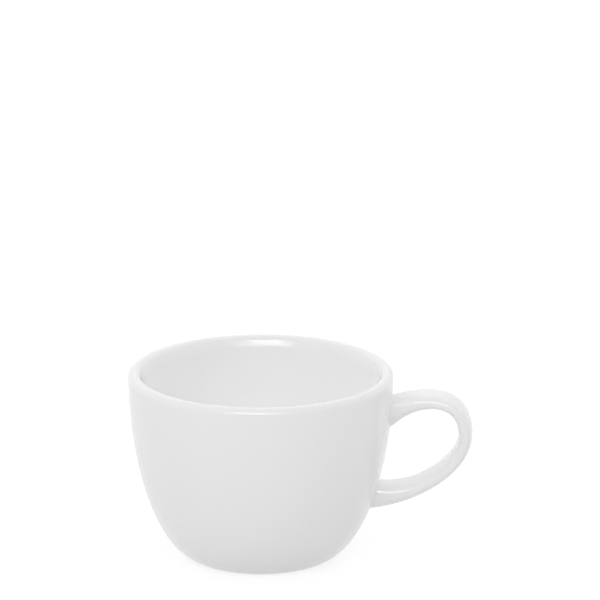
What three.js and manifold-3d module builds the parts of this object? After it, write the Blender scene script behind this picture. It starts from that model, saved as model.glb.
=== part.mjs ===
// Espresso cup in white glazed porcelain: a thick bowl on a foot ring, and a cast handle shaped like an ear
// that two layers of slip hold on the wall. Millimetres, +Z up. The foot stands on z = 0, the handle points
// to +X and the origin lies under the middle of the overall length.

import * as THREE from 'three';
import { mergeVertices, toCreasedNormals } from 'three/addons/utils/BufferGeometryUtils.js';
import Module from 'manifold-3d';

// Bowl, outside
const RIM_DIAMETER = 66;
const CUP_HEIGHT = 47.4;
const LIP_THICKNESS = 3.1;
const WALL_DRAFT_DEG = 0.6;
const WALL_RUN = 22.5;
const BELLY_RUN = 8.7;
const BELLY_RISE_DEG = 31.2;

// Foot ring and recess
const FOOT_DIAMETER = 38.8;
const FOOT_EDGE_HEIGHT = 0.7;
const FOOT_EDGE_ROUND = 0.6;
const FOOT_RING_WIDTH = 2.4;
const RECESS_DEPTH = 2.2;
const RECESS_CORNER = 1.8;

// Bowl, inside
const LIP_FLARE_DEG = 20;
const LIP_FLARE_RADIUS = 8;
const INNER_DRAFT_DEG = 7;
const INNER_WALL_RUN = 25;
const INNER_FLOOR_RUN = 14;
const INNER_FLOOR_DIAMETER = 20;
const FLOOR_THICKNESS = 4;

// Handle: where its centre line starts, bends and ends
const UPPER_ROOT_DROP = 10.1;
const UPPER_ARM_RISE_DEG = 29.3;
const UPPER_ARM_RUN = 12.3;
const UPPER_BEND_RUN = 9.2;
const BEND_DROP = 15.6;
const HANDLE_REACH = 19.8;
const LOWER_BEND_RUN = 7.5;
const LOWER_ARM_RUN = 11.9;
const LOWER_ARM_FALL_DEG = 1.7;
const LOWER_ROOT_RISE = 15.8;
const ROOT_SINK = 1;

// Handle: its oval section, thickness in the plane of the ear and width across it
const BEND_THICKNESS = 3.5;
const BEND_WIDTH = 10.3;
const UPPER_ROOT_THICKNESS = 7.5;
const UPPER_ROOT_WIDTH = 7.1;
const LOWER_ROOT_THICKNESS = 7.6;
const LOWER_ROOT_WIDTH = 7.3;
const THICKNESS_FLARE = 2.6;
const WIDTH_FLARE = 2;

// Slip joints between the roots and the wall
const SLIP_THICKNESS = 0.5;
const SLIP_BEAD = 0.4;
const SEAT_CLEARANCE = 0.3;

// Facets
const TURN_STEPS = 72;
const WALL_STEPS = 14;
const LIP_STEPS = 4;
const FLARE_STEPS = 2;
const CORNER_STEPS = 4;
const ARM_STEPS = 18;
const OVAL_STEPS = 24;
const CREASE_ANGLE_DEG = 35;
const HALVINGS = 40;

const wasm = await Module();
wasm.setup();

// Solids: joined and cut as closed triangle meshes

function toSolid(geometry) {
  const bare = geometry.clone();
  bare.deleteAttribute('normal');
  bare.deleteAttribute('uv');
  const merged = mergeVertices(bare);
  return new wasm.Manifold(new wasm.Mesh({
    numProp: 3,
    vertProperties: new Float32Array(merged.attributes.position.array),
    triVerts: new Uint32Array(merged.index.array),
  }));
}

function toGeometry(solid) {
  const mesh = solid.getMesh();
  const geometry = new THREE.BufferGeometry();
  geometry.setAttribute('position', new THREE.BufferAttribute(mesh.vertProperties, mesh.numProp));
  geometry.setIndex(new THREE.BufferAttribute(mesh.triVerts, 1));
  return toCreasedNormals(geometry, THREE.MathUtils.degToRad(CREASE_ANGLE_DEG));
}

// Profiles: x is the radius from the cup's axis and y the height above the table

const rimRadius = RIM_DIAMETER / 2;
const lipRadius = LIP_THICKNESS / 2;
const wallDraft = THREE.MathUtils.degToRad(WALL_DRAFT_DEG);
const bellyRise = THREE.MathUtils.degToRad(BELLY_RISE_DEG);
const lipFlare = THREE.MathUtils.degToRad(LIP_FLARE_DEG);
const innerDraft = THREE.MathUtils.degToRad(INNER_DRAFT_DEG);

function stepAlong(point, angle, length) {
  return new THREE.Vector2(point.x + length * Math.cos(angle), point.y + length * Math.sin(angle));
}

function joinStretches(...stretches) {
  const points = [];
  for (const [curve, steps] of stretches) {
    const stretch = curve.getPoints(steps);
    points.push(...(points.length > 0 ? stretch.slice(1) : stretch));
  }
  return points;
}

function turned(points) {
  return new THREE.LatheGeometry(points, TURN_STEPS).rotateX(Math.PI / 2);
}

// The lip is a round that runs on into the wall outside, and inside through a flare into the inner wall

function arc(centre, radius, from, to) {
  return new THREE.EllipseCurve(centre.x, centre.y, radius, radius, from, to);
}

const lipCentre = new THREE.Vector2(rimRadius - lipRadius, CUP_HEIGHT - lipRadius);
const outerLip = arc(lipCentre, lipRadius, -wallDraft, Math.PI / 2);
const innerLip = arc(lipCentre, lipRadius, Math.PI / 2, Math.PI - lipFlare);
const flareCentre = stepAlong(innerLip.getPoint(1), -lipFlare, LIP_FLARE_RADIUS);
const flare = arc(flareCentre, LIP_FLARE_RADIUS, Math.PI - lipFlare, Math.PI - innerDraft);

// The outside of the wall, from the edge of the foot up through the belly to the lip

const wallTop = outerLip.getPoint(0);
const footEdge = new THREE.Vector2(FOOT_DIAMETER / 2, FOOT_EDGE_HEIGHT);
const outerWall = new THREE.CubicBezierCurve(
  footEdge,
  stepAlong(footEdge, bellyRise, BELLY_RUN),
  stepAlong(wallTop, -Math.PI / 2 - wallDraft, WALL_RUN),
  wallTop,
);

function outerRadiusAt(height) {
  let low = 0;
  let high = 1;
  for (let halving = 0; halving < HALVINGS; halving += 1) {
    const middle = (low + high) / 2;
    if (outerWall.getPoint(middle).y < height) {
      low = middle;
    } else {
      high = middle;
    }
  }
  return outerWall.getPoint(low).x;
}

// Bowl: recess, foot ring, outside, lip and inside in one turn

function bowlGeometry() {
  const footToe = new THREE.Vector2(footEdge.x - FOOT_EDGE_HEIGHT / Math.tan(bellyRise), 0);
  const contactOuter = new THREE.Vector2(footToe.x - FOOT_EDGE_ROUND, 0);
  const contactInner = new THREE.Vector2(contactOuter.x - FOOT_RING_WIDTH, 0);
  const recessEdge = new THREE.Vector2(contactInner.x - RECESS_CORNER, RECESS_DEPTH);
  const recessCentre = new THREE.Vector2(0, RECESS_DEPTH);
  const recessCorner = new THREE.QuadraticBezierCurve(
    recessEdge,
    new THREE.Vector2(contactInner.x, RECESS_DEPTH),
    contactInner,
  );
  const footCorner = new THREE.QuadraticBezierCurve(contactOuter, footToe, footEdge);

  const innerTop = flare.getPoint(1);
  const floorCentre = new THREE.Vector2(0, RECESS_DEPTH + FLOOR_THICKNESS);
  const floorEdge = new THREE.Vector2(INNER_FLOOR_DIAMETER / 2, floorCentre.y);
  const innerWall = new THREE.CubicBezierCurve(
    innerTop,
    stepAlong(innerTop, -Math.PI / 2 - innerDraft, INNER_WALL_RUN),
    stepAlong(floorEdge, 0, INNER_FLOOR_RUN),
    floorEdge,
  );

  return turned(joinStretches(
    [new THREE.LineCurve(recessCentre, recessEdge), 1],
    [recessCorner, CORNER_STEPS],
    [new THREE.LineCurve(contactInner, contactOuter), 1],
    [footCorner, CORNER_STEPS],
    [outerWall, WALL_STEPS],
    [outerLip, LIP_STEPS],
    [innerLip, LIP_STEPS],
    [flare, FLARE_STEPS],
    [innerWall, WALL_STEPS],
    [new THREE.LineCurve(floorEdge, floorCentre), 1],
  ));
}

// The bowl's outside as a full solid, grown by an offset: what seats on the wall is cut to this

function wallPlug(offset) {
  const wall = [];
  for (let step = 0; step <= WALL_STEPS; step += 1) {
    const tangent = outerWall.getTangent(step / WALL_STEPS);
    const outward = new THREE.Vector2(tangent.y, -tangent.x);
    wall.push(outerWall.getPoint(step / WALL_STEPS).addScaledVector(outward, offset));
  }
  const bottom = new THREE.Vector2(0, wall[0].y);
  const top = new THREE.Vector2(wall[WALL_STEPS].x, CUP_HEIGHT);
  return toSolid(turned([bottom, ...wall, top, new THREE.Vector2(0, CUP_HEIGHT)]));
}

// Handle: its centre line runs out along the upper arm, down through the bend and back along the lower arm

function rootPoint(height) {
  return new THREE.Vector2(outerRadiusAt(height) - ROOT_SINK, height);
}

const upperRoot = rootPoint(CUP_HEIGHT - UPPER_ROOT_DROP);
const lowerRoot = rootPoint(LOWER_ROOT_RISE);
const bend = new THREE.Vector2(rimRadius + HANDLE_REACH - BEND_THICKNESS / 2, CUP_HEIGHT - BEND_DROP);

const upperArm = {
  curve: new THREE.CubicBezierCurve(
    upperRoot,
    stepAlong(upperRoot, THREE.MathUtils.degToRad(UPPER_ARM_RISE_DEG), UPPER_ARM_RUN),
    stepAlong(bend, Math.PI / 2, UPPER_BEND_RUN),
    bend,
  ),
  startsAtWall: true,
  rootThickness: UPPER_ROOT_THICKNESS,
  rootWidth: UPPER_ROOT_WIDTH,
};

const lowerArm = {
  curve: new THREE.CubicBezierCurve(
    bend,
    stepAlong(bend, -Math.PI / 2, LOWER_BEND_RUN),
    stepAlong(lowerRoot, THREE.MathUtils.degToRad(-LOWER_ARM_FALL_DEG), LOWER_ARM_RUN),
    lowerRoot,
  ),
  startsAtWall: false,
  rootThickness: LOWER_ROOT_THICKNESS,
  rootWidth: LOWER_ROOT_WIDTH,
};

// One oval of an arm, moved on along the centre line by a shift that sinks a root in the wall

function ovalRing({ curve, startsAtWall, rootThickness, rootWidth }, along, shift, grown) {
  const tangent = curve.getTangentAt(along);
  const centre = curve.getPointAt(along).addScaledVector(tangent, shift);
  const outward = new THREE.Vector2(-tangent.y, tangent.x);
  const nearRoot = startsAtWall ? 1 - along : along;
  const thickness = THREE.MathUtils.lerp(BEND_THICKNESS, rootThickness, nearRoot ** THICKNESS_FLARE);
  const width = THREE.MathUtils.lerp(BEND_WIDTH, rootWidth, nearRoot ** WIDTH_FLARE);

  const ring = [];
  for (let step = 0; step < OVAL_STEPS; step += 1) {
    const angle = (2 * Math.PI * step) / OVAL_STEPS;
    const aside = (thickness / 2 + grown) * Math.cos(angle);
    const across = (width / 2 + grown) * Math.sin(angle);
    ring.push(new THREE.Vector3(centre.x + outward.x * aside, across, centre.y + outward.y * aside));
  }
  return ring;
}

function armRings(arm, grown = 0) {
  const rings = [];
  for (let step = 0; step <= ARM_STEPS; step += 1) {
    rings.push(ovalRing(arm, step / ARM_STEPS, 0, grown));
  }
  if (arm.startsAtWall) {
    rings.unshift(ovalRing(arm, 0, -arm.rootThickness, grown));
  } else {
    rings.push(ovalRing(arm, 1, arm.rootThickness, grown));
  }
  return rings;
}

function loft(rings) {
  const corners = rings.flat();
  const indices = [];
  for (let ring = 0; ring < rings.length - 1; ring += 1) {
    const here = ring * OVAL_STEPS;
    const there = here + OVAL_STEPS;
    for (let step = 0; step < OVAL_STEPS; step += 1) {
      const next = (step + 1) % OVAL_STEPS;
      indices.push(here + step, there + step, here + next);
      indices.push(here + next, there + step, there + next);
    }
  }
  const last = corners.length - OVAL_STEPS;
  for (let step = 1; step < OVAL_STEPS - 1; step += 1) {
    indices.push(0, step, step + 1);
    indices.push(last, last + step + 1, last + step);
  }
  return new THREE.BufferGeometry().setFromPoints(corners).setIndex(indices);
}

function handleGeometry() {
  const ear = toSolid(loft([...armRings(upperArm), ...armRings(lowerArm).slice(1)]));
  return toGeometry(ear.subtract(wallPlug(SEAT_CLEARANCE + SLIP_THICKNESS + SEAT_CLEARANCE)));
}

// Slip: the layer between the wall and a root, wider than the root by a bead all round

function slipGeometry(arm) {
  const root = toSolid(loft(armRings(arm, SLIP_BEAD)));
  const layer = wallPlug(SEAT_CLEARANCE + SLIP_THICKNESS).subtract(wallPlug(SEAT_CLEARANCE));
  return toGeometry(root.intersect(layer));
}

// Assembly

const GLAZE = { color: 0xf1f1ef, roughness: 0.1, metalness: 0 };
const GLAZED_SLIP = { color: 0xecebe8, roughness: 0.2, metalness: 0 };

function piece(name, geometry, finish) {
  const mesh = new THREE.Mesh(geometry, new THREE.MeshStandardMaterial(finish));
  mesh.name = name;
  return mesh;
}

const espressoCup = new THREE.Group();
espressoCup.position.x = -HANDLE_REACH / 2;
espressoCup.add(piece('cup_body', bowlGeometry(), GLAZE));
espressoCup.add(piece('handle', handleGeometry(), GLAZE));
espressoCup.add(piece('upper_joint_slip', slipGeometry(upperArm), GLAZED_SLIP));
espressoCup.add(piece('lower_joint_slip', slipGeometry(lowerArm), GLAZED_SLIP));

export default espressoCup;
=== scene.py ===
"""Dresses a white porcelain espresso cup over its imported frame.

The bowl, the ear-shaped handle and the two slip joints are built as fine meshes, in metres and in the frame's
own axes: the foot stands on z = 0, +Z is up and the handle points to +X.
"""

import logging
import math
from collections.abc import Sequence
from dataclasses import dataclass, field
from enum import Enum

import bpy
import numpy as np
from mathutils import Euler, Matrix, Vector


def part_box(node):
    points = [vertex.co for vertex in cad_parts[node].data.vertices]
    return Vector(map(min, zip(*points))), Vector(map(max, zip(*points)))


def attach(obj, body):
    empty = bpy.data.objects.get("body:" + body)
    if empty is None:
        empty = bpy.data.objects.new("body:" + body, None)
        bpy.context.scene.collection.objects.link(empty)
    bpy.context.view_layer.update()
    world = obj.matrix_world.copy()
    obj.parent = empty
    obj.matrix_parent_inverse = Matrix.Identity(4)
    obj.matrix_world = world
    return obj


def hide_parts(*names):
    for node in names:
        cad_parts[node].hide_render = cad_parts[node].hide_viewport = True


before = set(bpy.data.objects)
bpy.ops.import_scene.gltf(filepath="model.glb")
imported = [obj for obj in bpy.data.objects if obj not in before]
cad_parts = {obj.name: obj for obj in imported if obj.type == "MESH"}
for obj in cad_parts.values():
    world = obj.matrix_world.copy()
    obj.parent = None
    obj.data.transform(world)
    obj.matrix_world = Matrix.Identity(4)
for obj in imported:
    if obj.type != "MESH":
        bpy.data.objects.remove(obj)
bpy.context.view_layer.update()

MM = 0.001
BODY = "root"
WHITE = (1.0, 1.0, 1.0, 1.0)

# Halvings of an interval in a search, and the rise over which the wall's lean is measured
HALVINGS = 40
LEAN_RISE = 0.05 * MM

# Where a search for the wall starts on an arm, and how far past the root it goes, as shares of its length
MIDWAY = 0.5
PAST_ROOT = 0.25

# Rings that a flat round of the bowl is drawn with, as shares of its radius
FLAT_SHARES = (0.0, 0.5)

log = logging.getLogger("espresso_cup")


class Zone(Enum):
    """Which finish a stretch of the bowl's profile has; the value is its material slot."""

    GLAZED = 0
    BARE = 1


class Side(Enum):
    """Which end of an arm meets the wall; the value is its place along the arm."""

    START = 0.0
    END = 1.0


class Share(Enum):
    """What a light is for: matt shading, or a picture of itself in the glaze."""

    SHADING = "shading"
    MIRRORED = "mirrored"


def step_along(point: Vector, angle: float, length: float) -> Vector:
    """Walks from a plane point.

    Args:
        point: Where the walk starts, as radius and height.
        angle: Heading in radians, counted from the outward direction towards up.
        length: How far to go, in metres.

    Returns:
        The point that is reached.
    """
    return Vector((point.x + length * math.cos(angle), point.y + length * math.sin(angle)))


def arc(centre: Vector, radius: float, start: float, end: float, steps: int) -> list[Vector]:
    """Samples a plane arc.

    Args:
        centre: The arc's centre, as radius and height.
        radius: The arc's own radius in metres.
        start: First angle in radians.
        end: Last angle in radians.
        steps: Number of chords.

    Returns:
        The points from start to end, both included.
    """
    return [step_along(centre, angle, radius) for angle in np.linspace(start, end, steps + 1).tolist()]


def rounded(start: Vector, corner: Vector, end: Vector, steps: int) -> list[Vector]:
    """Rounds a corner with a parabola.

    Args:
        start: Where the round starts.
        corner: The sharp corner that it rounds.
        end: Where the round ends.
        steps: Number of chords.

    Returns:
        The points from start to end, both included.
    """
    shares = [step / steps for step in range(steps + 1)]
    return [(1 - t) ** 2 * start + 2 * t * (1 - t) * corner + t * t * end for t in shares]


@dataclass(frozen=True)
class Bezier:
    """A plane cubic curve between two points, drawn towards the two pulls between them."""

    start: Vector
    start_pull: Vector
    end_pull: Vector
    end: Vector

    def at(self, t: float) -> Vector:
        """Finds a point of the curve.

        Args:
            t: Parameter from 0 to 1.

        Returns:
            The point.
        """
        u = 1 - t
        return (
            u ** 3 * self.start
            + 3 * u * u * t * self.start_pull
            + 3 * u * t * t * self.end_pull
            + t ** 3 * self.end
        )

    def heading(self, t: float) -> Vector:
        """Finds the direction of the curve.

        Args:
            t: Parameter from 0 to 1.

        Returns:
            The unit tangent, from start to end.
        """
        u = 1 - t
        slope = (
            u * u * (self.start_pull - self.start)
            + 2 * u * t * (self.end_pull - self.start_pull)
            + t * t * (self.end - self.end_pull)
        )
        return slope.normalized()

    def samples(self, steps: int) -> list[Vector]:
        """Returns steps + 1 points at even parameters."""
        return [self.at(step / steps) for step in range(steps + 1)]

    def even_parameters(self, steps: int, fineness: int = 400) -> list[float]:
        """Finds the parameters that cut the curve into stretches of equal length.

        Args:
            steps: Number of stretches.
            fineness: Number of chords that stand for the curve while it is measured.

        Returns:
            The steps + 1 parameters, from 0 to 1.
        """
        points = np.array([tuple(p) for p in self.samples(fineness)])
        lengths = np.concatenate([[0.0], np.cumsum(np.linalg.norm(np.diff(points, axis=0), axis=1))])
        even = np.linspace(0.0, lengths[-1], steps + 1)
        return np.interp(even, lengths, np.linspace(0.0, 1.0, fineness + 1)).tolist()


def sight_line(azimuth: float, elevation: float) -> Vector:
    """Turns a viewing angle into a direction.

    Args:
        azimuth: Angle in radians from the front, towards the handle's side.
        elevation: Angle in radians above the table.

    Returns:
        The unit vector from the cup towards the viewer.
    """
    level = math.cos(elevation)
    return Vector((math.sin(azimuth) * level, -math.cos(azimuth) * level, math.sin(elevation)))


def make_piece(
    name: str,
    corners: Sequence[Sequence[float]],
    faces: Sequence[Sequence[int]],
    crease_deg: float = 50.0,
) -> bpy.types.Object:
    """Makes a smooth-shaded mesh object and links it to the scene.

    Args:
        name: The piece's name.
        corners: Vertex places in metres, in the frame's axes.
        faces: Vertex numbers of each face, counter-clockwise seen from outside.
        crease_deg: Edges sharper than this stay crisp.

    Returns:
        The new object.
    """
    mesh = bpy.data.meshes.new(name)
    mesh.from_pydata([tuple(c) for c in corners], [], [tuple(f) for f in faces])
    mesh.validate()
    mesh.shade_smooth()
    mesh.set_sharp_from_angle(angle=math.radians(crease_deg))
    piece = bpy.data.objects.new(name, mesh)
    bpy.context.scene.collection.objects.link(piece)
    return piece


def ring_faces(first: int, second: int, count: int) -> list[tuple[int, ...]]:
    """Joins two closed rings of vertices with quads.

    Args:
        first: Number of the first ring's first vertex.
        second: Number of the second ring's first vertex.
        count: Vertices in each ring.

    Returns:
        The quads, one for each pair of neighbours.
    """
    quads: list[tuple[int, ...]] = []
    for step in range(count):
        following = (step + 1) % count
        quads.append((first + step, first + following, second + following, second + step))
    return quads


def turned_over(faces: Sequence[Sequence[int]]) -> list[tuple[int, ...]]:
    """Returns the faces with their other side outward."""
    return [tuple(reversed(face)) for face in faces]


def tone_between(
    tree: bpy.types.NodeTree,
    first: tuple[float, float, float],
    second: tuple[float, float, float],
    share: bpy.types.NodeSocket,
) -> bpy.types.NodeSocket:
    """Adds a mix of two colours to a material.

    Args:
        tree: The material's node tree.
        first: The colour where the share is 0.
        second: The colour where the share is 1.
        share: The output that mixes them.

    Returns:
        The output that holds the mixed colour.
    """
    tone = tree.nodes.new("ShaderNodeMix")
    tone.data_type = "RGBA"
    tone.inputs["A"].default_value = (*first, 1.0)
    tone.inputs["B"].default_value = (*second, 1.0)
    tree.links.new(share, tone.inputs["Factor"])
    return tone.outputs["Result"]


def value_between(
    tree: bpy.types.NodeTree, low: float, high: float, share: bpy.types.NodeSocket
) -> bpy.types.NodeSocket:
    """Adds a spread of values to a material.

    Args:
        tree: The material's node tree.
        low: The value where the share is 0.
        high: The value where the share is 1.
        share: The output that moves between them.

    Returns:
        The output that holds the value.
    """
    spread = tree.nodes.new("ShaderNodeMapRange")
    spread.inputs["To Min"].default_value = low
    spread.inputs["To Max"].default_value = high
    tree.links.new(share, spread.inputs["Value"])
    return spread.outputs["Result"]


class GlazeChange(Enum):
    """What firing leaves uneven in a glaze."""

    TONE = ("Tone", "Drift Size", 2.0)
    GLOSS = ("Gloss", "Gloss Size", 3.0)
    PEEL = ("Peel", "Peel Size", 1.0)

    def __init__(self, output: str, size_input: str, detail: float) -> None:
        """Names the sockets of a change and says how fine it is.

        Args:
            output: The node group's output that holds the change.
            size_input: The node group's input for its size.
            detail: The detail of its noise.
        """
        self.output = output
        self.size_input = size_input
        self.detail = detail


def glaze_group() -> bpy.types.NodeTree:
    """Builds the node group for what a fired glaze does over a surface.

    Returns:
        A group that puts out a slow drift of tone, a drift of gloss and the fine waviness of the skin.
    """
    group = bpy.data.node_groups.new("fired_glaze", "ShaderNodeTree")
    for change in GlazeChange:
        group.interface.new_socket(change.size_input, in_out="INPUT", socket_type="NodeSocketFloat")
    for change in GlazeChange:
        group.interface.new_socket(change.output, in_out="OUTPUT", socket_type="NodeSocketFloat")

    nodes, links = group.nodes, group.links
    given = nodes.new("NodeGroupInput")
    result = nodes.new("NodeGroupOutput")
    place = nodes.new("ShaderNodeTexCoord")
    for change in GlazeChange:
        noise = nodes.new("ShaderNodeTexNoise")
        noise.inputs["Detail"].default_value = change.detail
        links.new(place.outputs["Object"], noise.inputs["Vector"])
        links.new(given.outputs[change.size_input], noise.inputs["Scale"])
        links.new(noise.outputs["Fac"], result.inputs[change.output])
    return group


@dataclass(frozen=True)
class GlazeFinish:
    """Glossy white glaze over porcelain."""

    name: str
    light: tuple[float, float, float] = (0.925, 0.925, 0.925)
    deep: tuple[float, float, float] = (0.915, 0.915, 0.915)
    ior: float = 1.5
    gloss_low: float = 0.03
    gloss_high: float = 0.09
    peel_height: float = 0.012 * MM
    peel_strength: float = 0.35
    drift_size: float = 40.0
    gloss_size: float = 160.0
    peel_size: float = 420.0

    def material(self, group: bpy.types.NodeTree) -> bpy.types.Material:
        """Makes the material.

        Args:
            group: The node group for fired glaze.

        Returns:
            The new material.
        """
        material = bpy.data.materials.new(self.name)
        material.use_nodes = True
        tree = material.node_tree
        shader = tree.nodes["Principled BSDF"]
        shader.inputs["IOR"].default_value = self.ior

        glaze = tree.nodes.new("ShaderNodeGroup")
        glaze.node_tree = group
        sizes = {
            GlazeChange.TONE: self.drift_size,
            GlazeChange.GLOSS: self.gloss_size,
            GlazeChange.PEEL: self.peel_size,
        }
        for change, size in sizes.items():
            glaze.inputs[change.size_input].default_value = size

        drift = glaze.outputs[GlazeChange.TONE.output]
        tone = tone_between(tree, self.light, self.deep, drift)
        tree.links.new(tone, shader.inputs["Base Color"])
        gloss = value_between(tree, self.gloss_low, self.gloss_high, glaze.outputs[GlazeChange.GLOSS.output])
        tree.links.new(gloss, shader.inputs["Roughness"])

        peel = tree.nodes.new("ShaderNodeBump")
        peel.inputs["Strength"].default_value = self.peel_strength
        peel.inputs["Distance"].default_value = self.peel_height
        tree.links.new(glaze.outputs[GlazeChange.PEEL.output], peel.inputs["Height"])
        tree.links.new(peel.outputs["Normal"], shader.inputs["Normal"])
        return material


@dataclass(frozen=True)
class BareFootFinish:
    """Unglazed porcelain on the contact band of the foot, ground smooth but matt."""

    name: str = "bare_foot"
    light: tuple[float, float, float] = (0.76, 0.745, 0.71)
    worn: tuple[float, float, float] = (0.60, 0.585, 0.555)
    matt_low: float = 0.62
    matt_high: float = 0.85
    wear_size: float = 260.0
    wear_detail: float = 4.0
    grain_size: float = 5200.0
    grain_height: float = 0.03 * MM

    def material(self) -> bpy.types.Material:
        """Makes the material.

        Returns:
            The new material.
        """
        material = bpy.data.materials.new(self.name)
        material.use_nodes = True
        tree = material.node_tree
        shader = tree.nodes["Principled BSDF"]
        place = tree.nodes.new("ShaderNodeTexCoord")

        wear = tree.nodes.new("ShaderNodeTexNoise")
        wear.inputs["Scale"].default_value = self.wear_size
        wear.inputs["Detail"].default_value = self.wear_detail
        tree.links.new(place.outputs["Object"], wear.inputs["Vector"])
        tone = tone_between(tree, self.light, self.worn, wear.outputs["Fac"])
        tree.links.new(tone, shader.inputs["Base Color"])
        matt = value_between(tree, self.matt_low, self.matt_high, wear.outputs["Fac"])
        tree.links.new(matt, shader.inputs["Roughness"])

        grain = tree.nodes.new("ShaderNodeTexNoise")
        grain.inputs["Scale"].default_value = self.grain_size
        tree.links.new(place.outputs["Object"], grain.inputs["Vector"])
        bump = tree.nodes.new("ShaderNodeBump")
        bump.inputs["Distance"].default_value = self.grain_height
        tree.links.new(grain.outputs["Fac"], bump.inputs["Height"])
        tree.links.new(bump.outputs["Normal"], shader.inputs["Normal"])
        return material


@dataclass
class Bowl:
    """The roller-formed bowl: recess, foot ring, wall, rolled lip and inside in one turn."""

    axis_x: float
    rim_radius: float
    height: float
    lip_radius: float = 1.55 * MM
    wall_draft: float = math.radians(0.6)
    wall_run: float = 22.5 * MM
    belly_run: float = 8.7 * MM
    belly_rise: float = math.radians(31.2)
    foot_radius: float = 19.4 * MM
    foot_edge_height: float = 0.7 * MM
    foot_edge_round: float = 0.6 * MM
    ring_width: float = 2.4 * MM
    recess_depth: float = 2.2 * MM
    recess_corner: float = 1.8 * MM
    lip_flare: float = math.radians(18.3)
    flare_radius: float = 18.0 * MM
    flare_turn: float = math.radians(14.0)
    throat_radius: float = 10.0 * MM
    inner_draft: float = math.radians(7.0)
    inner_wall_run: float = 25.0 * MM
    inner_floor_run: float = 14.0 * MM
    inner_floor_radius: float = 10.0 * MM
    floor_thickness: float = 4.0 * MM
    glaze_depth: float = 0.15 * MM
    bare_corner_steps: int = 3
    turn_steps: int = 240
    wall_steps: int = 56
    lip_steps: int = 12
    corner_steps: int = 8
    outside: Bezier = field(init=False)

    def __post_init__(self) -> None:
        """Works out the curve of the outside from the sizes."""
        wall_top = step_along(self.lip_centre(), -self.wall_draft, self.lip_radius)
        foot_edge = Vector((self.foot_radius, self.foot_edge_height))
        self.outside = Bezier(
            foot_edge,
            step_along(foot_edge, self.belly_rise, self.belly_run),
            step_along(wall_top, -math.pi / 2 - self.wall_draft, self.wall_run),
            wall_top,
        )

    def axis_foot(self) -> Vector:
        """Returns where the bowl's axis meets the table."""
        return Vector((self.axis_x, 0.0, 0.0))

    def lip_centre(self) -> Vector:
        """Returns the centre of the lip's round."""
        return Vector((self.rim_radius - self.lip_radius, self.height - self.lip_radius))

    def wall_radius(self, height: float) -> float:
        """Finds the outside radius at a height.

        Args:
            height: Height above the table in metres.

        Returns:
            The radius from the bowl's axis in metres.
        """
        low, high = 0.0, 1.0
        for _ in range(HALVINGS):
            middle = (low + high) / 2
            if self.outside.at(middle).y < height:
                low = middle
            else:
                high = middle
        return self.outside.at(low).x

    def on_wall(self, point: Vector) -> Vector:
        """Moves a point level with the table onto the outside of the wall.

        Args:
            point: A place near the wall, in the frame's axes.

        Returns:
            The place on the wall.
        """
        spoke = Vector((point.x - self.axis_x, point.y))
        spoke = spoke.normalized() * self.wall_radius(point.z)
        return Vector((self.axis_x + spoke.x, spoke.y, point.z))

    def clearance(self, point: Vector) -> float:
        """Returns how far a point lies outside the wall, measured level with the table."""
        return math.hypot(point.x - self.axis_x, point.y) - self.wall_radius(point.z)

    def wall_normal(self, point: Vector) -> Vector:
        """Finds the wall's outward normal at a point on it.

        Args:
            point: A place on the wall, in the frame's axes.

        Returns:
            The unit normal.
        """
        growth = self.wall_radius(point.z + LEAN_RISE) - self.wall_radius(point.z - LEAN_RISE)
        spoke = Vector((point.x - self.axis_x, point.y, 0.0)).normalized()
        return Vector((spoke.x, spoke.y, -growth / (2 * LEAN_RISE))).normalized()

    def foot_rounds(self) -> tuple[list[Vector], list[Vector]]:
        """Rounds the two corners of the foot ring.

        Returns:
            The round from the recess down to the table, and the one from the table up to the outside.
        """
        foot_edge = self.outside.start
        toe = Vector((foot_edge.x - foot_edge.y / math.tan(self.belly_rise), 0.0))
        contact_outer = Vector((toe.x - self.foot_edge_round, 0.0))
        contact_inner = Vector((contact_outer.x - self.ring_width, 0.0))
        recess_edge = Vector((contact_inner.x - self.recess_corner, self.recess_depth))
        recess_corner = Vector((contact_inner.x, self.recess_depth))
        recess = rounded(recess_edge, recess_corner, contact_inner, self.corner_steps)
        return recess, rounded(contact_outer, toe, foot_edge, self.corner_steps)

    def wiped(self, point: Vector, middle: Vector) -> Vector:
        """Returns a point of the foot's round without its glaze, which thins out towards the table."""
        return point + (middle - point).normalized() * min(self.glaze_depth, point.y / 2)

    def bare_band(self, recess: list[Vector], foot: list[Vector]) -> list[Vector]:
        """Draws the wiped foot between the two edges of the glaze, which stand a little proud of it.

        Args:
            recess: The round from the recess down to the table.
            foot: The round from the table up to the outside.

        Returns:
            Points as radius and height, from the inner glaze edge over the table to the outer one.
        """
        middle = Vector(((recess[-1].x + foot[0].x) / 2, self.foot_edge_height))
        inner = [self.wiped(point, middle) for point in recess[-1 - self.bare_corner_steps : -1]]
        outer = [self.wiped(point, middle) for point in foot[1 : 1 + self.bare_corner_steps]]
        return [*inner, recess[-1], foot[0], *outer]

    def flare(self, line: list[Vector], radius: float, start: float, end: float) -> list[Vector]:
        """Returns a line carried on down the inside by a hollow arc, from one lean off upright to another."""
        centre = step_along(line[-1], -start, radius)
        return line + arc(centre, radius, math.pi - start, math.pi - end, self.lip_steps)[1:]

    def lip_line(self) -> list[Vector]:
        """Draws the lip from the top of the wall over its round and down the flare inside.

        Returns:
            Points as radius and height.
        """
        centre = self.lip_centre()
        line = arc(centre, self.lip_radius, -self.wall_draft, math.pi / 2, self.lip_steps)
        line += arc(centre, self.lip_radius, math.pi / 2, math.pi - self.lip_flare, self.lip_steps)[1:]
        line = self.flare(line, self.flare_radius, self.lip_flare, self.flare_turn)
        return self.flare(line, self.throat_radius, self.flare_turn, self.inner_draft)

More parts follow.
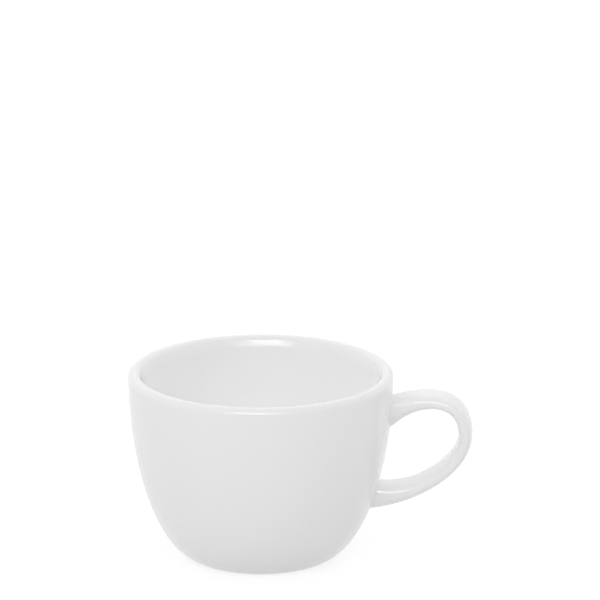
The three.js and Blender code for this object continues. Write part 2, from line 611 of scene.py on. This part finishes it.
    def profile(self) -> list[tuple[Vector, Zone]]:
        """Draws the half section from the recess round the outside to the inside floor.

        Returns:
            Points as radius and height, each with the finish of the stretch that ends there.
        """
        recess, foot = self.foot_rounds()
        lip = self.lip_line()
        floor_edge = Vector((self.inner_floor_radius, self.recess_depth + self.floor_thickness))
        inside = Bezier(
            lip[-1],
            step_along(lip[-1], -math.pi / 2 - self.inner_draft, self.inner_wall_run),
            step_along(floor_edge, 0.0, self.inner_floor_run),
            floor_edge,
        )

        under = [Vector((share * recess[0].x, self.recess_depth)) for share in FLAT_SHARES]
        under += recess[: -self.bare_corner_steps]
        over = foot[self.bare_corner_steps :] + self.outside.samples(self.wall_steps)[1:]
        over += lip[1:] + inside.samples(self.wall_steps)[1:]
        over += [Vector((share * floor_edge.x, floor_edge.y)) for share in reversed(FLAT_SHARES)]
        return (
            [(point, Zone.GLAZED) for point in under]
            + [(point, Zone.BARE) for point in self.bare_band(recess, foot)]
            + [(point, Zone.GLAZED) for point in over]
        )

    def build(self) -> bpy.types.Object:
        """Turns the profile about the bowl's axis.

        Returns:
            The bowl, with a material slot number on each face.
        """
        profile = self.profile()
        turns = [2 * math.pi * step / self.turn_steps for step in range(self.turn_steps)]
        corners = [Vector((self.axis_x, 0.0, profile[0][0].y))]
        for point, _ in profile[1:-1]:
            corners += [
                Vector((self.axis_x + point.x * math.cos(turn), point.x * math.sin(turn), point.y))
                for turn in turns
            ]
        corners.append(Vector((self.axis_x, 0.0, profile[-1][0].y)))

        faces: list[tuple[int, ...]] = []
        zones: list[Zone] = []
        rings = [1 + ring * self.turn_steps for ring in range(len(profile) - 2)]
        neighbours = [(step, (step + 1) % self.turn_steps) for step in range(self.turn_steps)]
        faces += [(0, rings[0] + following, rings[0] + step) for step, following in neighbours]
        zones += [profile[1][1]] * self.turn_steps
        for number, (first, second) in enumerate(zip(rings, rings[1:])):
            faces += ring_faces(first, second, self.turn_steps)
            zones += [profile[number + 2][1]] * self.turn_steps
        last = len(corners) - 1
        faces += [(rings[-1] + step, rings[-1] + following, last) for step, following in neighbours]
        zones += [profile[-1][1]] * self.turn_steps

        piece = make_piece("bowl", corners, faces)
        piece.data.polygons.foreach_set("material_index", [zone.value for zone in zones])
        return piece

    def dress(self, piece: bpy.types.Object, group: bpy.types.NodeTree) -> None:
        """Glazes the bowl all over with the group's glaze, but for the band that it stands on."""
        piece.data.materials.append(GlazeFinish("bowl_glaze").material(group))
        piece.data.materials.append(BareFootFinish().material())


@dataclass
class Arm:
    """One arm of the handle: a squared oval that flares from the bend to its root on the wall."""

    curve: Bezier
    root: Side
    root_thickness: float
    root_width: float
    bend_thickness: float
    bend_width: float
    squareness: float = 2.6
    thickness_flare: float = 3.6
    width_flare: float = 2.0
    steps: int = 72
    oval_steps: int = 72
    parameters: list[float] = field(init=False)
    length: float = field(init=False)

    def __post_init__(self) -> None:
        """Measures the centre line, so that places along it can be given as shares of its length."""
        self.parameters = self.curve.even_parameters(self.steps)
        points = [self.curve.at(t) for t in self.parameters]
        self.length = sum((b - a).length for a, b in zip(points, points[1:]))

    def inward(self) -> float:
        """Returns 1 if the places along the arm grow towards its root, and -1 if they fall."""
        return 1.0 if self.root is Side.END else -1.0

    def angles(self) -> list[float]:
        """Returns the places round the oval at which the skin is drawn."""
        return [2 * math.pi * step / self.oval_steps for step in range(self.oval_steps)]

    def squared(self, swing: float) -> float:
        """Returns a sine or cosine drawn out towards a rounded square."""
        return math.copysign(abs(swing) ** (2.0 / self.squareness), swing)

    def oval(self, along: float) -> tuple[float, float]:
        """Finds the size of the section.

        Args:
            along: Share of the arm's length, from the start of its curve.

        Returns:
            Thickness and width in metres.
        """
        near_root = 1.0 - abs(along - self.root.value)
        thicker = (self.root_thickness - self.bend_thickness) * near_root ** self.thickness_flare
        wider = (self.root_width - self.bend_width) * near_root ** self.width_flare
        return self.bend_thickness + thicker, self.bend_width + wider

    def surface(self, along: float, angle: float, sink: float = 0.0) -> Vector:
        """Finds a point of the arm's skin, with the bowl's axis at x = 0.

        Args:
            along: Share of the arm's length, from the start of its curve; past an end it runs straight on.
            angle: Place round the oval in radians, from the outer side of the ear.
            sink: How far under the skin the point lies, in metres.

        Returns:
            The point in metres.
        """
        held = min(max(along, 0.0), 1.0)
        t = float(np.interp(held * self.steps, np.arange(self.steps + 1), self.parameters))
        heading = self.curve.heading(t)
        centre = self.curve.at(t) + heading * ((along - held) * self.length)
        outward = Vector((-heading.y, heading.x))
        thickness, width = self.oval(held)
        aside = (thickness / 2 - sink) * self.squared(math.cos(angle))
        across = (width / 2 - sink) * self.squared(math.sin(angle))
        return Vector((centre.x + outward.x * aside, across, centre.y + outward.y * aside))

    def crossing(self, bowl: Bowl, angle: float) -> float:
        """Finds where a line along the skin meets the wall.

        Args:
            bowl: The bowl that the arm is stuck to.
            angle: Which line, as a place round the oval in radians.

        Returns:
            The share of the arm's length at the wall.
        """
        shift = bowl.axis_foot()
        outer, inner = MIDWAY, self.root.value + self.inward() * PAST_ROOT
        for _ in range(HALVINGS):
            middle = (outer + inner) / 2
            if bowl.clearance(shift + self.surface(middle, angle)) > 0:
                outer = middle
            else:
                inner = middle
        return outer

    def rings(self, bowl: Bowl, buried: float) -> list[list[Vector]]:
        """Draws the skin from end to end, cut off at the root along the curve of the wall.

        Args:
            bowl: The bowl that the arm is stuck to.
            buried: How far the cut end lies beyond the wall's skin, in metres.

        Returns:
            Rings of points in the order of the curve, in the frame's axes.
        """
        shift = bowl.axis_foot()
        free_end = 1.0 - self.root.value
        past = self.inward() * buried / self.length
        ends = [self.crossing(bowl, angle) + past for angle in self.angles()]
        drawn: list[list[Vector]] = []
        for step in range(self.steps + 1):
            share = abs(step / self.steps - free_end)
            drawn.append([
                shift + self.surface(free_end * (1.0 - share) + share * end, angle)
                for angle, end in zip(self.angles(), ends)
            ])
        return drawn


@dataclass
class Handle:
    """The cast ear-shaped handle, from its root under the lip round the bend to its root on the belly."""

    bowl: Bowl
    upper_root_drop: float = 10.1 * MM
    upper_arm_rise: float = math.radians(29.3)
    upper_arm_run: float = 12.3 * MM
    upper_bend_run: float = 9.2 * MM
    bend_drop: float = 15.6 * MM
    reach: float = 19.8 * MM
    lower_bend_run: float = 7.5 * MM
    lower_arm_run: float = 11.9 * MM
    lower_arm_fall: float = math.radians(1.7)
    lower_root_rise: float = 15.8 * MM
    root_sink: float = 1.0 * MM
    bend_thickness: float = 3.5 * MM
    bend_width: float = 10.3 * MM
    upper_root_thickness: float = 7.2 * MM
    upper_root_width: float = 7.1 * MM
    lower_root_thickness: float = 7.3 * MM
    lower_root_width: float = 7.3 * MM
    buried: float = 0.8 * MM
    upper: Arm = field(init=False)
    lower: Arm = field(init=False)

    def __post_init__(self) -> None:
        """Lays the two arms between the wall and the bend."""
        top = self.bowl.height
        upper_root = self.root_point(top - self.upper_root_drop)
        lower_root = self.root_point(self.lower_root_rise)
        bend = Vector((self.bowl.rim_radius + self.reach - self.bend_thickness / 2, top - self.bend_drop))
        self.upper = Arm(
            curve=Bezier(
                upper_root,
                step_along(upper_root, self.upper_arm_rise, self.upper_arm_run),
                step_along(bend, math.pi / 2, self.upper_bend_run),
                bend,
            ),
            root=Side.START,
            root_thickness=self.upper_root_thickness,
            root_width=self.upper_root_width,
            bend_thickness=self.bend_thickness,
            bend_width=self.bend_width,
        )
        self.lower = Arm(
            curve=Bezier(
                bend,
                step_along(bend, -math.pi / 2, self.lower_bend_run),
                step_along(lower_root, -self.lower_arm_fall, self.lower_arm_run),
                lower_root,
            ),
            root=Side.END,
            root_thickness=self.lower_root_thickness,
            root_width=self.lower_root_width,
            bend_thickness=self.bend_thickness,
            bend_width=self.bend_width,
        )

    def root_point(self, height: float) -> Vector:
        """Returns where the centre line meets the wall at a height, a little under its skin."""
        return Vector((self.bowl.wall_radius(height) - self.root_sink, height))

    def build(self) -> bpy.types.Object:
        """Lofts the ovals of both arms into one closed skin.

        Returns:
            The handle, with both ends cut to the curve of the wall and a little way into it.
        """
        rings = self.upper.rings(self.bowl, self.buried)
        rings += self.lower.rings(self.bowl, self.buried)[1:]
        corners = [point for ring in rings for point in ring]

        count = len(rings[0])
        faces: list[tuple[int, ...]] = []
        for ring in range(len(rings) - 1):
            faces += turned_over(ring_faces(ring * count, (ring + 1) * count, count))
        faces.append(tuple(range(count)))
        faces.append(tuple(reversed(range(len(corners) - count, len(corners)))))
        return make_piece("ear_handle", corners, faces)

    def dress(self, piece: bpy.types.Object, group: bpy.types.NodeTree) -> None:
        """Glazes the handle all over with the group's glaze."""
        piece.data.materials.append(GlazeFinish("handle_glaze").material(group))


@dataclass
class SlipJoint:
    """The slip that is squeezed out round a root and wiped into a small hollow fillet."""

    name: str
    bowl: Bowl
    arm: Arm
    spread: float = 0.5 * MM
    depth: float = 0.35 * MM
    fillet_steps: int = 8

    def section(self, angle: float) -> list[Vector]:
        """Draws one closed section of the bead.

        Args:
            angle: Place round the oval in radians.

        Returns:
            Points from the wall over the fillet to the handle, and back under both skins.
        """
        shift = self.bowl.axis_foot()
        share = self.arm.inward() * self.spread / self.arm.length
        meet = self.arm.crossing(self.bowl, angle)
        corner = shift + self.arm.surface(meet, angle)
        on_handle = shift + self.arm.surface(meet - share, angle)
        under_handle = shift + self.arm.surface(meet - share, angle, sink=self.depth)

        normal = self.bowl.wall_normal(corner)
        outward = corner - (shift + self.arm.surface(meet, angle, sink=self.depth))
        outward = (outward - normal * outward.dot(normal)).normalized()
        on_wall = self.bowl.on_wall(corner + outward * self.spread)
        under_wall = on_wall - self.bowl.wall_normal(on_wall) * self.depth
        inside = corner - normal * self.depth - outward * self.depth
        fillet = rounded(on_wall, corner, on_handle, self.fillet_steps)
        return [*fillet, under_handle, inside, under_wall]

    def build(self) -> bpy.types.Object:
        """Joins the sections into a closed ring round the root.

        Returns:
            The bead.
        """
        sections = [self.section(angle) for angle in self.arm.angles()]
        size = len(sections[0])
        corners = [point for section in sections for point in section]
        faces: list[tuple[int, ...]] = []
        for number in range(len(sections)):
            following = (number + 1) % len(sections)
            quads = ring_faces(number * size, following * size, size)
            faces += quads if self.arm.root is Side.START else turned_over(quads)
        return make_piece(self.name, corners, faces)

    def dress(self, piece: bpy.types.Object, group: bpy.types.NodeTree) -> None:
        """Glazes the bead, which is fired together with bowl and handle, with the group's glaze."""
        piece.data.materials.append(GlazeFinish(f"{self.name}_glaze").material(group))


@dataclass(frozen=True)
class Softbox:
    """A rectangular studio light that faces the cup."""

    name: str
    azimuth_deg: float
    elevation_deg: float
    distance: float
    width: float
    height: float
    radiance: float
    share: Share = Share.SHADING

    def build(self, aim: Vector) -> bpy.types.Object:
        """Hangs the light in the scene.

        Args:
            aim: The point that it faces and from which its place is counted.

        Returns:
            The light's object, with its power set from its radiance and area.
        """
        lamp = bpy.data.lights.new(self.name, "AREA")
        lamp.shape = "RECTANGLE"
        lamp.size = self.width
        lamp.size_y = self.height
        lamp.energy = self.radiance * math.pi * self.width * self.height
        light = bpy.data.objects.new(self.name, lamp)
        back = sight_line(math.radians(self.azimuth_deg), math.radians(self.elevation_deg))
        light.location = aim + back * self.distance
        light.rotation_euler = back.to_track_quat("Z", "Y").to_euler()
        light.visible_diffuse = self.share is Share.SHADING
        light.visible_glossy = self.share is Share.MIRRORED
        bpy.context.scene.collection.objects.link(light)
        return light


# Name, azimuth and elevation in degrees, distance, width and height in metres, and radiance
SOFTBOXES = (
    Softbox("front_light", -3.0, 41.0, 1.6, 1.9, 1.0, 1.87),
    Softbox("left_light", -75.0, 30.0, 1.6, 1.4, 1.2, 0.8),
    Softbox("right_light", 75.0, 38.0, 1.6, 1.4, 1.0, 0.7),
    Softbox("back_left_light", -139.0, 30.0, 1.6, 1.4, 1.0, 2.0),
    Softbox("back_right_light", 140.0, 30.0, 1.6, 1.4, 1.0, 2.0),
    Softbox("top_light", 0.0, 89.0, 1.5, 0.8, 0.8, 0.65),
    Softbox("strip", 1.0, 17.3, 1.22, 1.25, 0.18, 2.3, Share.MIRRORED),
    Softbox("strip_core", -3.0, 17.3, 1.22, 0.6, 0.18, 2.2, Share.MIRRORED),
    Softbox("strip_line", -2.0, 24.5, 1.20, 0.85, 0.08, 14.0, Share.MIRRORED),
)


def background_rays(tree: bpy.types.NodeTree, shown: float, mirrored: float) -> bpy.types.NodeSocket:
    """Adds the nodes that tell rays which show the background from rays which only carry light.

    Args:
        tree: The node tree of the floor's material or of the world.
        shown: How white the background is to the camera and through clear things, from 0 to 1.
        mirrored: How white it is in a glossy surface, from 0 to 1.

    Returns:
        An output that holds the white share for the ray at hand.
    """
    path = tree.nodes.new("ShaderNodeLightPath")
    kinds = (("Is Camera Ray", shown), ("Is Transmission Ray", shown), ("Is Glossy Ray", mirrored))
    shares: list[bpy.types.NodeSocket] = []
    for kind, whiteness in kinds:
        scaled = tree.nodes.new("ShaderNodeMath")
        scaled.operation = "MULTIPLY"
        scaled.inputs[1].default_value = whiteness
        tree.links.new(path.outputs[kind], scaled.inputs[0])
        shares.append(scaled.outputs["Value"])
    largest = shares[0]
    for share in shares[1:]:
        either = tree.nodes.new("ShaderNodeMath")
        either.operation = "MAXIMUM"
        tree.links.new(largest, either.inputs[0])
        tree.links.new(share, either.inputs[1])
        largest = either.outputs["Value"]
    return largest


@dataclass
class Studio:
    """Floor, world, softboxes and camera."""

    bowl: Bowl
    floor_size: float = 8.0
    floor_colour: tuple[float, float, float] = (0.59, 0.59, 0.59)
    floor_seen_colour: tuple[float, float, float] = (0.96, 0.96, 0.96)
    floor_roughness: float = 0.9
    floor_glow: float = 0.19
    floor_shown: float = 0.72
    floor_mirrored: float = 0.8
    world_mirrored: float = 0.88
    ambient: float = 0.27
    softboxes: tuple[Softbox, ...] = SOFTBOXES
    camera_distance: float = 1.0
    camera_azimuth: float = math.radians(3.84)
    camera_elevation: float = math.radians(18.113)
    camera_pan: float = math.radians(0.588)
    camera_pitch: float = math.radians(15.807)
    camera_lens: float = 239.43
    camera_sensor: float = 36.0
    camera_nearest: float = 0.05
    camera_farthest: float = 50.0

    def aim(self) -> Vector:
        """Returns the middle of the bowl, which lights and camera are set out from."""
        return Vector((self.bowl.axis_x, 0.0, self.bowl.height / 2))

    def build_camera(self) -> bpy.types.Object:
        """Sets the camera at the photograph's viewing angle.

        Returns:
            The scene's camera.
        """
        data = bpy.data.cameras.new("camera")
        data.lens = self.camera_lens
        data.sensor_width = self.camera_sensor
        data.clip_start = self.camera_nearest
        data.clip_end = self.camera_farthest
        camera = bpy.data.objects.new("camera", data)
        back = sight_line(self.camera_azimuth, self.camera_elevation)
        camera.location = self.aim() + back * self.camera_distance
        camera.rotation_euler = Euler(
            (math.pi / 2 - self.camera_pitch, 0.0, self.camera_azimuth - self.camera_pan)
        )
        bpy.context.scene.collection.objects.link(camera)
        bpy.context.scene.camera = camera
        return camera

    def floor_material(self) -> bpy.types.Material:
        """Makes the pale floor's material.

        Returns:
            A material that is white to the camera, keeps the cup's shadow and is clear from below.
        """
        material = bpy.data.materials.new("pale_floor")
        material.use_nodes = True
        tree = material.node_tree
        nodes, links = tree.nodes, tree.links
        shader = nodes["Principled BSDF"]
        seen = background_rays(tree, shown=1.0, mirrored=0.0)
        tone = tone_between(tree, self.floor_colour, self.floor_seen_colour, seen)
        links.new(tone, shader.inputs["Base Color"])
        shader.inputs["Roughness"].default_value = self.floor_roughness
        shader.inputs["Emission Color"].default_value = WHITE
        shader.inputs["Emission Strength"].default_value = self.floor_glow

        white = nodes.new("ShaderNodeEmission")
        white.inputs["Strength"].default_value = 1.0
        blend = nodes.new("ShaderNodeMixShader")
        links.new(background_rays(tree, self.floor_shown, self.floor_mirrored), blend.inputs["Fac"])
        links.new(shader.outputs["BSDF"], blend.inputs[1])
        links.new(white.outputs["Emission"], blend.inputs[2])

        side = nodes.new("ShaderNodeNewGeometry")
        clear = nodes.new("ShaderNodeBsdfTransparent")
        from_below = nodes.new("ShaderNodeMixShader")
        links.new(side.outputs["Backfacing"], from_below.inputs["Fac"])
        links.new(blend.outputs["Shader"], from_below.inputs[1])
        links.new(clear.outputs["BSDF"], from_below.inputs[2])
        links.new(from_below.outputs["Shader"], nodes["Material Output"].inputs["Surface"])
        return material

    def build_floor(self) -> bpy.types.Object:
        """Lays the floor that the cup stands on.

        Returns:
            The floor.
        """
        half = self.floor_size / 2
        corners = [(-half, -half, 0.0), (half, -half, 0.0), (half, half, 0.0), (-half, half, 0.0)]
        floor = make_piece("floor", corners, [(0, 1, 2, 3)])
        floor.data.materials.append(self.floor_material())
        return floor

    def build_world(self) -> bpy.types.World:
        """Makes the faint even light of the room, which looks white to the camera and in the glaze.

        Returns:
            The scene's world.
        """
        world = bpy.data.worlds.new("studio")
        bpy.context.scene.world = world
        world.use_nodes = True
        nodes, links = world.node_tree.nodes, world.node_tree.links
        ambient = nodes["Background"]
        ambient.inputs["Color"].default_value = WHITE
        ambient.inputs["Strength"].default_value = self.ambient
        white = nodes.new("ShaderNodeBackground")
        white.inputs["Color"].default_value = WHITE
        white.inputs["Strength"].default_value = 1.0
        blend = nodes.new("ShaderNodeMixShader")
        white_share = background_rays(world.node_tree, shown=1.0, mirrored=self.world_mirrored)
        links.new(white_share, blend.inputs["Fac"])
        links.new(ambient.outputs["Background"], blend.inputs[1])
        links.new(white.outputs["Background"], blend.inputs[2])
        links.new(blend.outputs["Shader"], nodes["World Output"].inputs["Surface"])
        return world

    def build(self) -> None:
        """Builds everything that isn't part of the cup."""
        self.build_floor()
        self.build_world()
        for softbox in self.softboxes:
            softbox.build(self.aim())
        self.build_camera()
        bpy.context.scene.view_settings.view_transform = "Standard"


def main() -> None:
    """Builds the cup's pieces in order, dresses them and sets the studio around them."""
    logging.basicConfig(level=logging.INFO, format="%(name)s: %(message)s")
    lowest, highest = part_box("cup_body")
    bowl = Bowl(
        axis_x=(lowest.x + highest.x) / 2,
        rim_radius=(highest.x - lowest.x) / 2,
        height=highest.z,
    )
    handle = Handle(bowl)
    upper_joint = SlipJoint("upper_joint", bowl, handle.upper)
    lower_joint = SlipJoint("lower_joint", bowl, handle.lower)

    group = glaze_group()
    makers: tuple[tuple[Bowl | Handle | SlipJoint, str, str], ...] = (
        (bowl, "cup_body", "body_glaze"),
        (handle, "handle", "handle_glaze"),
        (upper_joint, "upper_joint_slip", "joint_slip"),
        (lower_joint, "lower_joint_slip", "joint_slip"),
    )
    for maker, node, slot in makers:
        piece = maker.build()
        maker.dress(piece, group)
        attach(piece, BODY)
        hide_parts(node)
        log.info("%s: %d faces, stands for %s", piece.name, len(piece.data.polygons), node)

    Studio(bowl).build()
    log.info("studio: floor, world, lights and camera")


if __name__ == "__main__":
    main()
